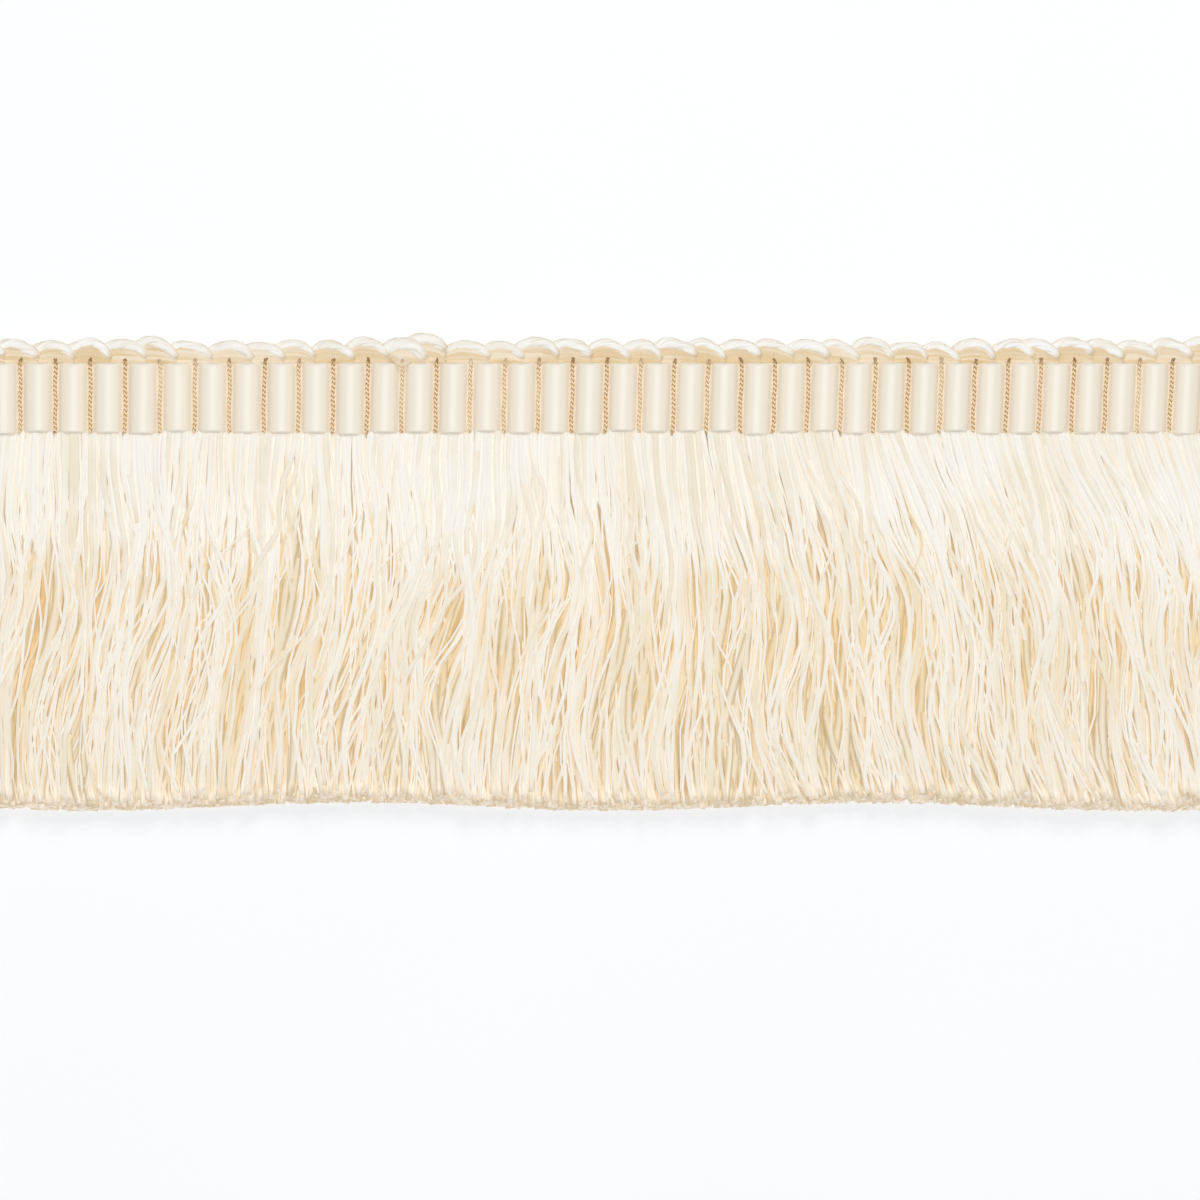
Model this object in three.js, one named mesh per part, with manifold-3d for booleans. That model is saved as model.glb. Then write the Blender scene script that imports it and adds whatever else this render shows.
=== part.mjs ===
// A cut length of fringe trim, lying face up on a table, in millimetres.
// X runs along the trim, Y across it towards the looped edge, and Z up from the table.
// The origin is the middle of the flat back of the woven heading.
// The weft bundles of the heading turn in loops at its upper edge, and hang out below it as the cut fringe.

import * as THREE from 'three';
import { mergeGeometries, mergeVertices } from 'three/addons/utils/BufferGeometryUtils.js';
import Module from 'manifold-3d';

const PIECE_GAP = 0.3;
const CORNER_GAP = 0.02;

// Woven heading.
const RIB_COUNT = 37;
const FIRST_RIB_WIDTH = 4.737; // the ribs lie a little closer towards +X
const LAST_RIB_WIDTH = 4.385;
const RIB_LENGTH = 9.6;
const RIB_CREST = 2.2; // height of a rib's crest above the table
const VALLEY_FLOOR = 1.0; // height of the cloth between two ribs
const VALLEY_WIDTH = 1.24;
const RIB_END_STEP = 0.28; // how far the lower ends of the ribs step out of line
const SELVEDGE_WIDTH = 0.45;
const SELVEDGE_THICKNESS = 0.35;
const RIB_LEAN = 0.5; // how far the ribs near the +X end lean over their length

// Gold binding threads, one in each valley.
const THREAD_RADIUS = 0.31;
const THREAD_LENGTH = 9.9;
const THREAD_SIDES = 6;

// Looped upper edge: each loop goes from the middle of one rib over the valley to the middle of the next.
// One row for each section along a loop: how far along as a share of its span, how far up from the ribs'
// upper ends, how high its middle is above the table, and its radius.
const LOOP_SECTIONS = [
  { along: -0.02, up: 1.22, high: 0.74, radius: 0.42 },
  { along: 0.14, up: 1.86, high: 0.8, radius: 0.64 },
  { along: 0.4, up: 2.42, high: 0.88, radius: 0.87 },
  { along: 0.66, up: 2.26, high: 1.08, radius: 0.8 },
  { along: 0.9, up: 1.56, high: 1.36, radius: 0.64 },
  { along: 1.02, up: 0.86, high: 1.5, radius: 0.5 },
];
const LOOP_SIDES = 6;
const LOOP_STEPS = 5;
const LOOP_UNEVENNESS = 0.14; // how much one loop stands higher than the next

// Cut fringe.
const STRIP_WIDTH = 1.0;
const STRIP_HEIGHT = 2.2;
const FRINGE_LENGTH = 50.4; // from the ribs' lower ends to the cut
const PILE_RISE = 2.5; // how far the pile swells above its roots
const PILE_SETTLE = 1.1; // how far it sinks again towards the cut
const ROOT_HEIGHT = 1.9;
const ROOT_LIFT = 0.15; // the lowest roots leave the strip this high, and lie on the table a little further on
const ROOT_UNEVENNESS = 0.05;
const LAYER_GAP = 0.3;
const LOCK_FILL = 0.72; // a lock's share of its place in the row
const LOCK_UNEVENNESS = 0.22; // how much one lock stands higher than the next
const CUT_SLANT = 0.55; // the cut leans back by this much of its height, so the upper locks are shorter
const CUT_WAVE = 0.55;
const CUT_WAVE_LENGTH = 70.6;
const CUT_WAVE_CREST = 0.9; // where along X the cut reaches furthest down
const TUFT_WAVE = 0.42; // how far neighbouring locks draw together into tufts
const TUFT_WAVE_LENGTH = 7.3;
const LOCKS_PER_RIB = 4;

// The two layers of locks: how many, how far the first one's middle is from the end as a share of its place,
// where along the length the rows of corners are, and from and to which share of the pile's height.
const LAYERS = [
  { count: LOCKS_PER_RIB * RIB_COUNT - 1, shift: 1, rows: [0, 0.06, 0.46, 1], from: 0, to: 0.5 },
  { count: LOCKS_PER_RIB * RIB_COUNT, shift: 0.5, rows: [0, 0.14, 0.44, 0.86, 1], from: 0.5, to: 1 },
];

// The sway of the strands, in radians from straight down: a steady lean and one swing out and back.
const LEAN_LEFT = -0.09;
const LEAN_RIGHT = 0.18;
const SWING_LEFT = 0.11;
const SWING_RIGHT = 0.19;
const SWING_PEAK = 0.21; // share of the length where the swing is furthest out
const SWING_PERIOD = 0.9; // share of the length in one whole swing
const SWAY_CHANGE = [-28, 52]; // where along X the lean turns from the left one to the right one

const MATERIALS = {
  heading: { color: '#f1e9d8', roughness: 0.55, metalness: 0 },
  thread: { color: '#d6ac70', roughness: 0.5, metalness: 0 },
  loops: { color: '#f3ecdd', roughness: 0.7, metalness: 0 },
  fringe: { color: '#f4ead6', roughness: 0.6, metalness: 0 },
};

const wasm = await Module();
wasm.setup();

const ribTop = RIB_LENGTH / 2;
const ribBottom = -RIB_LENGTH / 2;
const ribEdges = edgesOfRibs();
const halfLength = -ribEdges[0];
const stripTop = ribBottom - RIB_END_STEP - PIECE_GAP;
const rootLine = stripTop - STRIP_WIDTH;

// The X of every edge between two ribs, and of the two ends, with X = 0 in the middle.
function edgesOfRibs() {
  const edges = [0];
  for (let rib = 0; rib < RIB_COUNT; rib++) {
    const share = rib / (RIB_COUNT - 1);
    edges.push(edges[rib] + THREE.MathUtils.lerp(FIRST_RIB_WIDTH, LAST_RIB_WIDTH, share));
  }
  return edges.map((x) => x - edges[RIB_COUNT] / 2);
}

// The X at a number of ribs from the -X end, which needn't be a whole one.
function edgeAt(ribs) {
  const rib = THREE.MathUtils.clamp(Math.floor(ribs), 0, RIB_COUNT - 1);
  return ribEdges[rib] + (ribs - rib) * (ribEdges[rib + 1] - ribEdges[rib]);
}

// A fixed number from -1 to 1 for each pair of whole numbers, for what is uneven by chance.
function uneven(index, kind) {
  const wave = Math.sin(index * 12.9898 + kind * 78.233) * 43758.5453;
  return 2 * (wave - Math.floor(wave)) - 1;
}

// How far a rib leans along X at a height across the heading: none at the -X end, most at the +X end.
function ribShift(x, y) {
  const share = (x + halfLength) / (2 * halfLength);
  return (RIB_LEAN * share * y) / RIB_LENGTH;
}

// Moves every vertex of a geometry to the place that a function gives for it.
function shaped(geometry, place) {
  const position = geometry.getAttribute('position');
  const point = new THREE.Vector3();
  for (let i = 0; i < position.count; i++) {
    point.fromBufferAttribute(position, i);
    place(point);
    position.setXYZ(i, point.x, point.y, point.z);
  }
  return geometry;
}

// A closed geometry as a solid that can be joined to others.
function solidOf(geometry) {
  const bare = geometry.clone();
  bare.deleteAttribute('normal');
  bare.deleteAttribute('uv');
  const merged = mergeVertices(bare, 1e-4);
  return new wasm.Manifold(
    new wasm.Mesh({
      numProp: 3,
      vertProperties: new Float32Array(merged.getAttribute('position').array),
      triVerts: new Uint32Array(merged.index.array),
    }),
  );
}

// A joined solid as a geometry again, with corners that almost touch made one.
function geometryOf(solid) {
  const mesh = solid.getMesh();
  const loose = new THREE.BufferGeometry();
  loose.setAttribute('position', new THREE.BufferAttribute(new Float32Array(mesh.vertProperties), 3));
  loose.setIndex(new THREE.BufferAttribute(new Uint32Array(mesh.triVerts), 1));
  const geometry = mergeVertices(loose, CORNER_GAP);
  const index = geometry.index.array;
  const kept = [];
  for (let i = 0; i < index.length; i += 3) {
    const [a, b, c] = index.slice(i, i + 3);
    if (a !== b && b !== c && c !== a) kept.push(a, b, c);
  }
  geometry.setIndex(kept);
  geometry.computeVertexNormals();
  return geometry;
}

function piece(name, geometry, finish) {
  const mesh = new THREE.Mesh(geometry, new THREE.MeshStandardMaterial(MATERIALS[finish]));
  mesh.name = name;
  return mesh;
}

// The outline of the ribs in X and Z: a flat back, flat valleys and a half ellipse for each rib.
function ribOutline() {
  const outline = new THREE.Shape();
  outline.moveTo(ribEdges[0], 0);
  outline.lineTo(ribEdges[0], VALLEY_FLOOR);
  for (let rib = 0; rib < RIB_COUNT; rib++) {
    const middle = (ribEdges[rib] + ribEdges[rib + 1]) / 2;
    const halfWidth = (ribEdges[rib + 1] - ribEdges[rib] - VALLEY_WIDTH) / 2;
    outline.lineTo(middle - halfWidth, VALLEY_FLOOR);
    outline.absellipse(middle, VALLEY_FLOOR, halfWidth, RIB_CREST - VALLEY_FLOOR, Math.PI, 0, true);
  }
  outline.lineTo(ribEdges[RIB_COUNT], VALLEY_FLOOR);
  outline.lineTo(ribEdges[RIB_COUNT], 0);
  return outline;
}

// How far the lower end of the rib at X steps down or up.
function ribEndStep(x) {
  const rib = ribEdges.findIndex((edge) => edge > x) - 1;
  return RIB_END_STEP * uneven(rib, 1);
}

// The ribbed heading, with a thin selvedge under the feet of the loops.
function heading() {
  const ribs = new THREE.ExtrudeGeometry(ribOutline(), {
    depth: RIB_LENGTH,
    curveSegments: 4,
    bevelEnabled: false,
  });
  ribs.rotateX(Math.PI / 2).translate(0, ribTop, 0);
  shaped(ribs, (point) => {
    const shift = ribShift(point.x, point.y);
    if (point.y < 0 && point.z > VALLEY_FLOOR) point.y += ribEndStep(point.x);
    point.x += shift;
  });
  const overlap = 1;
  const selvedge = new THREE.BoxGeometry(2 * halfLength, SELVEDGE_WIDTH + overlap, SELVEDGE_THICKNESS);
  selvedge.translate(ribShift(0, ribTop), ribTop + (SELVEDGE_WIDTH - overlap) / 2, SELVEDGE_THICKNESS / 2);
  return piece('heading', geometryOf(solidOf(ribs).add(solidOf(selvedge))), 'heading');
}

// One straight binding thread, lying in the valley at an edge between two ribs.
function bindingThread(edge) {
  const x = ribEdges[edge];
  const thread = new THREE.CylinderGeometry(THREAD_RADIUS, THREAD_RADIUS, THREAD_LENGTH, THREAD_SIDES);
  const mesh = piece(`binding_thread_${String(edge).padStart(2, '0')}`, thread, 'thread');
  mesh.position.set(x, 0, VALLEY_FLOOR + PIECE_GAP + THREAD_RADIUS);
  mesh.rotation.z = -Math.atan2(ribShift(x, ribTop), ribTop);
  return mesh;
}

// One loop over the valley at an edge: a cylinder bent along the line of its sections, thick at its crown.
function loop(edge) {
  const start = edgeAt(edge - 0.5);
  const span = edgeAt(edge + 0.5) - start;
  const shift = ribShift(ribEdges[edge], ribTop);
  const higher = LOOP_UNEVENNESS * uneven(edge, 2);
  const line = new THREE.CatmullRomCurve3(
    LOOP_SECTIONS.map(({ along, up, high }) => {
      const raised = up > 1.5 ? higher : 0;
      return new THREE.Vector3(start + shift + along * span, ribTop + up + raised, high);
    }),
  );
  const radii = new THREE.CatmullRomCurve3(
    LOOP_SECTIONS.map(({ radius }, row) => new THREE.Vector3(row, radius, 0)),
  );
  const middle = new THREE.Vector3();
  const tangent = new THREE.Vector3();
  const sideways = new THREE.Vector3();
  const upwards = new THREE.Vector3(0, 0, 1);
  return shaped(new THREE.CylinderGeometry(1, 1, 1, LOOP_SIDES, LOOP_STEPS), (point) => {
    const share = point.y + 0.5;
    const radius = radii.getPoint(share).y;
    line.getPoint(share, middle);
    line.getTangent(share, tangent);
    sideways.crossVectors(tangent, upwards).normalize();
    const outwards = new THREE.Vector3().crossVectors(sideways, tangent);
    const { x, z } = point;
    point.copy(middle).addScaledVector(sideways, radius * x).addScaledVector(outwards, radius * z);
    point.z = Math.max(point.z, 0);
  });
}

// All the loops, joined foot to foot. The two cut ends go through a loop.
function loopEdge() {
  let joined = solidOf(loop(0));
  for (let edge = 1; edge <= RIB_COUNT; edge++) joined = joined.add(solidOf(loop(edge)));
  const right = halfLength + ribShift(halfLength, ribTop);
  const cut = joined.trimByPlane([1, 0, 0], -halfLength).trimByPlane([-1, 0, 0], -right);
  return piece('loop_edge', geometryOf(cut), 'loops');
}

// Where a strand rooted at X lies at a share of the way down, in X.
function swayed(x, down) {
  const right = THREE.MathUtils.smoothstep(x, ...SWAY_CHANGE);
  const lean = THREE.MathUtils.lerp(LEAN_LEFT, LEAN_RIGHT, right);
  const swing = THREE.MathUtils.lerp(SWING_LEFT, SWING_RIGHT, right);
  const turn = (2 * Math.PI) / SWING_PERIOD;
  const swung = (Math.sin(turn * (down - SWING_PEAK)) + Math.sin(turn * SWING_PEAK)) / turn;
  const tuft = TUFT_WAVE * down * Math.sin((2 * Math.PI * x) / TUFT_WAVE_LENGTH + 3 * down);
  return x + FRINGE_LENGTH * (lean * down + swing * swung) + tuft;
}

// The height of the pile at a share of the way down: it swells below the roots and settles towards the cut.
function pileHeight(down) {
  return ROOT_HEIGHT + PILE_RISE * (1 - (1 - down) ** 3) - PILE_SETTLE * down ** 2;
}

// The Y of the cut at X, at the level of the table.
function cutLine(x) {
  const wave = Math.cos((2 * Math.PI * (x - CUT_WAVE_CREST)) / CUT_WAVE_LENGTH);
  return ribBottom - FRINGE_LENGTH - CUT_WAVE * wave;
}

// A point of a lock: across its width and up its height from -0.5 to 0.5, and down its length from 0 to 1.
function lockPoint(layer, index, across, down, up) {
  const places = (index + layer.shift + across * LOCK_FILL) / LOCKS_PER_RIB;
  const height = pileHeight(down);
  const onTable = layer.from === 0;
  let low = onTable ? 0 : layer.from * height + LAYER_GAP / 2;
  let high = layer.to * height - (onTable ? LAYER_GAP / 2 : 0);
  if (onTable && down === 0) low = ROOT_LIFT;
  if (down === 0) {
    low += ROOT_UNEVENNESS * uneven(index, 4);
    high += ROOT_UNEVENNESS * uneven(index, 5);
  }
  if (!onTable) high += LOCK_UNEVENNESS * down * uneven(index, 3);
  const x = swayed(edgeAt(places), down);
  const z = THREE.MathUtils.lerp(low, high, up + 0.5);
  return new THREE.Vector3(x, THREE.MathUtils.lerp(rootLine, cutLine(x) + CUT_SLANT * z, down), z);
}

// A box with one of its six faces left out: 0 to 5 for +X, -X, +Y, -Y, +Z and -Z.
function openBox(size, rows, face) {
  const box = new THREE.BoxGeometry(size.x, size.y, size.z, 1, rows, 1);
  const { start, count } = box.groups[face];
  const index = Array.from(box.index.array);
  index.splice(start, count);
  box.setIndex(index);
  box.clearGroups();
  return box;
}

// The four sides and the cut end of a lock, open at its root.
function lock(layer, index) {
  const steps = layer.rows.length - 1;
  return shaped(openBox(new THREE.Vector3(1, 1, 1), steps, 2), (point) => {
    const down = layer.rows[Math.round((0.5 - point.y) * steps)];
    point.copy(lockPoint(layer, index, point.x, down, point.z));
  });
}

// The place in the strip's front where a lock leaves it, in X and Z.
function rootOf(layer, index) {
  const corners = [
    [-0.5, -0.5],
    [0.5, -0.5],
    [0.5, 0.5],
    [-0.5, 0.5],
  ];
  return new THREE.Path(
    corners.map(([across, up]) => {
      const { x, z } = lockPoint(layer, index, across, 0, up);
      return new THREE.Vector2(x, z);
    }),
  );
}

// A narrow strip with the locks of both layers growing out of its front.
function fringe() {
  const size = new THREE.Vector3(2 * halfLength, STRIP_WIDTH, STRIP_HEIGHT);
  const strip = openBox(size, 1, 3).translate(0, stripTop - STRIP_WIDTH / 2, STRIP_HEIGHT / 2);
  const front = new THREE.Shape();
  front.moveTo(-halfLength, 0).lineTo(halfLength, 0).lineTo(halfLength, STRIP_HEIGHT);
  front.lineTo(-halfLength, STRIP_HEIGHT).closePath();
  const skins = [strip];
  for (const layer of LAYERS) {
    for (let index = 0; index < layer.count; index++) {
      front.holes.push(rootOf(layer, index));
      skins.push(lock(layer, index));
    }
  }
  skins.push(new THREE.ShapeGeometry(front).rotateX(Math.PI / 2).translate(0, rootLine, 0));
  return piece('fringe', geometryOf(solidOf(mergeGeometries(skins))), 'fringe');
}

const trim = new THREE.Group();
trim.name = 'fringe_trim';
trim.add(heading(), loopEdge(), fringe());
for (let edge = 1; edge < RIB_COUNT; edge++) trim.add(bindingThread(edge));

export default trim;
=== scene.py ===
"""A length of cut fringe trim, lying face up on a pale table under soft studio light.

The trim is a woven heading of raised ribs with a gold two-ply thread bound into each valley, soft loops of
yarn along its upper edge, and a dense skirt of loose cut yarns. Sizes are in millimetres until a mesh is
made.
"""

import logging
import math
from dataclasses import dataclass, field
from enum import Enum
from typing import Any

import bmesh
import bpy
import numpy as np
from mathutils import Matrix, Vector

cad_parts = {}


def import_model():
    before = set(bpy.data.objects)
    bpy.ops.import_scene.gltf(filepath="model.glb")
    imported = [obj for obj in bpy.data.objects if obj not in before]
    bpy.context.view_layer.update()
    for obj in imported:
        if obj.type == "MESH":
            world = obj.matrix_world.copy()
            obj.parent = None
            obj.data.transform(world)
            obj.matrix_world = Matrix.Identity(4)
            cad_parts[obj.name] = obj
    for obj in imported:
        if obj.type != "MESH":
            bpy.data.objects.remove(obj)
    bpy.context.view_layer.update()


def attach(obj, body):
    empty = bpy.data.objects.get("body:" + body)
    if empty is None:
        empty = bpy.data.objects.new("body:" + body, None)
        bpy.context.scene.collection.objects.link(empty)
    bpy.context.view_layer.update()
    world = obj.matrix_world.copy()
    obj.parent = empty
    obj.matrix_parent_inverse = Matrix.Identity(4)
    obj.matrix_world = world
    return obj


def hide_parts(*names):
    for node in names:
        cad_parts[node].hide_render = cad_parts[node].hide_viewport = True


MM = 0.001
LOG = logging.getLogger("fringe_trim")

Array = np.ndarray


def linear(hex_colour: str) -> tuple[float, float, float, float]:
    """Turns an sRGB hex colour into the linear colour that a shader takes.

    Args:
        hex_colour: The colour as "#rrggbb".

    Returns:
        Linear red, green and blue, and an alpha of 1.
    """
    parts = [int(hex_colour[i : i + 2], 16) / 255 for i in (1, 3, 5)]
    red, green, blue = (p / 12.92 if p <= 0.04045 else ((p + 0.055) / 1.055) ** 2.4 for p in parts)
    return red, green, blue, 1.0


def smoothstep(value: Array, low: float, high: float) -> Array:
    """Eases from 0 at low to 1 at high, and stays there on both sides."""
    share = np.clip((np.asarray(value, dtype=float) - low) / (high - low), 0, 1)
    return share * share * (3 - 2 * share)


def uneven(index: Array, kind: int) -> Array:
    """Gives a fixed number from -1 to 1 for each pair of whole numbers, as in the solids."""
    wave = np.sin(np.asarray(index) * 12.9898 + kind * 78.233) * 43758.5453
    return 2 * (wave - np.floor(wave)) - 1


@dataclass(frozen=True)
class TrimPlan:
    """The sizes that the heading, loops, threads and fringe share, in millimetres."""

    rib_count: int = 37
    first_rib_width: float = 4.737
    last_rib_width: float = 4.385
    rib_length: float = 9.6
    rib_crest: float = 2.2
    valley_floor: float = 1.2
    valley_width: float = 0.8
    rib_end_step: float = 0.28
    rib_lean: float = 0.5
    fringe_length: float = 50.4
    pile_rise: float = 2.5
    pile_settle: float = 1.1
    root_height: float = 1.9
    cut_slant: float = 0.55
    cut_wave: float = 0.55
    cut_wave_length: float = 70.6
    cut_wave_crest: float = 0.9
    tuft_wave: float = 0.42
    tuft_wave_length: float = 7.3
    lean: tuple[float, float] = (-0.09, 0.18)
    swing: tuple[float, float] = (0.11, 0.19)
    swing_peak: float = 0.21
    swing_period: float = 0.9
    sway_change: tuple[float, float] = (-28.0, 52.0)

    @property
    def rib_top(self) -> float:
        """The Y of the ribs' upper ends."""
        return self.rib_length / 2

    @property
    def edges(self) -> Array:
        """The X of every valley and of the two cut ends."""
        widths = np.linspace(self.first_rib_width, self.last_rib_width, self.rib_count)
        edges = np.concatenate([[0.0], np.cumsum(widths)])
        return edges - edges[-1] / 2

    def edge_at(self, ribs: Array) -> Array:
        """Gives the X at a number of ribs from the -X end, which needn't be a whole one."""
        ribs = np.asarray(ribs, dtype=float)
        rib = np.clip(np.floor(ribs), 0, self.rib_count - 1).astype(int)
        return self.edges[rib] + (ribs - rib) * (self.edges[rib + 1] - self.edges[rib])

    def rib_shift(self, x: Array, y: Array) -> Array:
        """Gives how far a rib leans along X: not at all at the -X end, most at the +X end."""
        half = -self.edges[0]
        return self.rib_lean * (x + half) / (2 * half) * y / self.rib_length

    def swayed(self, x: Array, down: Array) -> Array:
        """Gives where a strand rooted at x lies, at a share of the way down."""
        right = smoothstep(x, *self.sway_change)
        lean = self.lean[0] + (self.lean[1] - self.lean[0]) * right
        swing = self.swing[0] + (self.swing[1] - self.swing[0]) * right
        turn = 2 * math.pi / self.swing_period
        swung = (np.sin(turn * (down - self.swing_peak)) + math.sin(turn * self.swing_peak)) / turn
        tuft = self.tuft_wave * down * np.sin(2 * math.pi * x / self.tuft_wave_length + 3 * down)
        return x + self.fringe_length * (lean * down + swing * swung) + tuft

    def pile_height(self, down: Array) -> Array:
        """Gives the height of the pile, which swells below the roots and settles towards the cut."""
        return self.root_height + self.pile_rise * (1 - (1 - down) ** 3) - self.pile_settle * down**2

    def cut_line(self, x: Array) -> Array:
        """Gives the Y of the cut at the level of the table."""
        wave = np.cos(2 * math.pi * (x - self.cut_wave_crest) / self.cut_wave_length)
        return -self.rib_top - self.fringe_length - self.cut_wave * wave

    def rib_rise(self, across: Array) -> Array:
        """Gives a rib's rise as a share of its crest's, at a place from -1 to 1 across the rib."""
        return (1 - np.abs(np.clip(across, -1, 1)) ** 2.2) ** 0.6


class Piece:
    """A mesh made from arrays, with its place in its mesh and its object at the origin."""

    def __init__(self, name: str, mesh: bpy.types.Mesh) -> None:
        """Puts the mesh into the scene as one object."""
        self.object = bpy.data.objects.new(name, mesh)
        bpy.context.scene.collection.objects.link(self.object)

    def dress(self, material: bpy.types.Material, slot: str, *nodes: str) -> None:
        """Gives the piece its material, sets it under the root body and hides the solids that it stands for.

        Args:
            material: What the piece is made of.
            slot: Not used.
            *nodes: The names of the solids that the piece replaces.
        """
        self.object.data.materials.append(material)
        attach(self.object, "root")
        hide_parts(*nodes)
        triangles = sum(len(p.vertices) - 2 for p in self.object.data.polygons)
        LOG.info("%s: %d triangles", self.object.name, triangles)


@dataclass
class YarnBatch:
    """Many yarns of one build as one mesh: a closed tube of a few sides along each yarn's line.

    centres holds each yarn's line as an array of yarns by points by X, Y and Z, and radii its thickness.
    flatness is a yarn's height as a share of its width, one number or one for each point. marks are
    numbers at each point, which the materials read as attributes.
    """

    centres: Array
    radii: Array
    sides: int = 4
    flatness: Array | float = 1.0
    marks: dict[str, Array] = field(default_factory=dict)

    def mesh(self, name: str) -> bpy.types.Mesh:
        """Builds the tubes.

        Args:
            name: The name of the mesh.

        Returns:
            The mesh, in metres, with a UV map that runs along the yarns in millimetres.
        """
        yarns, points = self.radii.shape
        sides = self.sides
        tangent = np.gradient(self.centres, axis=1)
        tangent /= np.linalg.norm(tangent, axis=2, keepdims=True)
        sideways = np.cross(tangent, [0.0, 0.0, 1.0])
        sideways /= np.linalg.norm(sideways, axis=2, keepdims=True)
        upwards = np.cross(sideways, tangent)
        flatness = np.broadcast_to(self.flatness, self.radii.shape)
        # Yarns of three or four sides lie with a flat side up, and rounder ones with a corner up.
        first_corner = {3: -0.25, 4: 0.125}.get(sides, 0.25)
        turn = 2 * math.pi * (first_corner + np.arange(sides) / sides)
        ring = (
            np.cos(turn)[None, None, :, None] * sideways[:, :, None, :]
            + np.sin(turn)[None, None, :, None] * (flatness[:, :, None] * upwards)[:, :, None, :]
        )
        corners = self.centres[:, :, None, :] + self.radii[:, :, None, None] * ring

        first = (np.arange(yarns) * points * sides)[:, None, None]
        row = (np.arange(points - 1) * sides)[None, :, None]
        here = np.arange(sides)[None, None, :]
        after = (np.arange(sides)[None, None, :] + 1) % sides
        lower, upper = first + row, first + row + sides
        walls = np.stack([lower + here, lower + after, upper + after, upper + here], axis=-1).reshape(-1, 4)
        start = (first[:, :, 0] + np.arange(sides)[None, ::-1]).reshape(-1, sides)
        end = (first[:, :, 0] + (points - 1) * sides + np.arange(sides)[None, :]).reshape(-1, sides)

        mesh = bpy.data.meshes.new(name)
        corner_index = np.concatenate([walls.ravel(), start.ravel(), end.ravel()]).astype(np.int32)
        counts = np.concatenate([np.full(len(walls), 4), np.full(2 * yarns, sides)])
        mesh.vertices.add(yarns * points * sides)
        mesh.vertices.foreach_set("co", (corners * MM).astype(np.float32).ravel())
        mesh.loops.add(len(corner_index))
        mesh.loops.foreach_set("vertex_index", corner_index)
        mesh.polygons.add(len(counts))
        starts = np.concatenate([[0], np.cumsum(counts)[:-1]]).astype(np.int32)
        mesh.polygons.foreach_set("loop_start", starts)
        smooth = np.concatenate([np.ones(len(walls), bool), np.zeros(2 * yarns, bool)])
        mesh.polygons.foreach_set("use_smooth", smooth)

        steps = np.linalg.norm(np.diff(self.centres, axis=1), axis=2)
        length = np.concatenate([np.zeros((yarns, 1)), np.cumsum(steps, axis=1)], axis=1)
        around = np.broadcast_to(np.arange(sides) / sides, (yarns, points, sides)).copy()
        along = np.repeat(length[:, :, None], sides, axis=2)
        flat_uv = np.stack([around, along], axis=-1).reshape(-1, 2)[corner_index]
        last_side = np.repeat(walls[:, 0] % sides, 4) == sides - 1
        seam = np.tile([False, True, True, False], len(walls)) & last_side
        flat_uv[: 4 * len(walls), 0][seam] = 1.0
        uv = mesh.uv_layers.new(name="UVMap")
        uv.data.foreach_set("uv", flat_uv.astype(np.float32).ravel())
        for mark, values in self.marks.items():
            spread = np.repeat(np.broadcast_to(values, (yarns, points))[:, :, None], sides, axis=2)
            attribute = mesh.attributes.new(mark, "FLOAT", "POINT")
            attribute.data.foreach_set("value", spread.astype(np.float32).ravel())
        mesh.update(calc_edges=True)
        mesh.validate()
        return mesh


# Settings that nodes share: a Map Range that eases, and a Mix of colours, whose result is its third output.
EASED = {"interpolation_type": "SMOOTHSTEP"}
COLOURS = {"data_type": "RGBA", "out": 2}


class NodeSheet:
    """The node tree of one material, with its shader and output already linked."""

    def __init__(self, name: str) -> None:
        """Makes the material and clears its tree."""
        self.material = bpy.data.materials.new(name)
        self.material.use_nodes = True
        self.tree = self.material.node_tree
        self.tree.nodes.clear()
        self.shader = self.add("ShaderNodeBsdfPrincipled").node
        self.add("ShaderNodeOutputMaterial", {"Surface": self.shader.outputs["BSDF"]}, out=None)

    def fill(self, node: bpy.types.Node, inputs: dict[Any, Any]) -> None:
        """Sets or links a node's inputs.

        Args:
            node: The node.
            inputs: For each input, by name or number, a value, a hex colour or the output that feeds it.
        """
        for key, value in inputs.items():
            if isinstance(value, bpy.types.NodeSocket):
                self.tree.links.new(value, node.inputs[key])
            else:
                node.inputs[key].default_value = linear(value) if isinstance(value, str) else value

    def add(self, kind: str, inputs: dict[Any, Any] | None = None, out: int | str | None = 0,
            **settings: Any) -> bpy.types.NodeSocket | None:
        """Adds a node with its settings and links.

        Args:
            kind: The node's type.
            inputs: What fills its inputs, as for fill.
            out: Which of its outputs to give, by name or number, or None for a node without any.
            **settings: The node's own settings.

        Returns:
            The output.
        """
        node = self.tree.nodes.new(kind)
        for name, value in settings.items():
            setattr(node, name, value)
        self.fill(node, inputs or {})
        return None if out is None else node.outputs[out]


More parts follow.
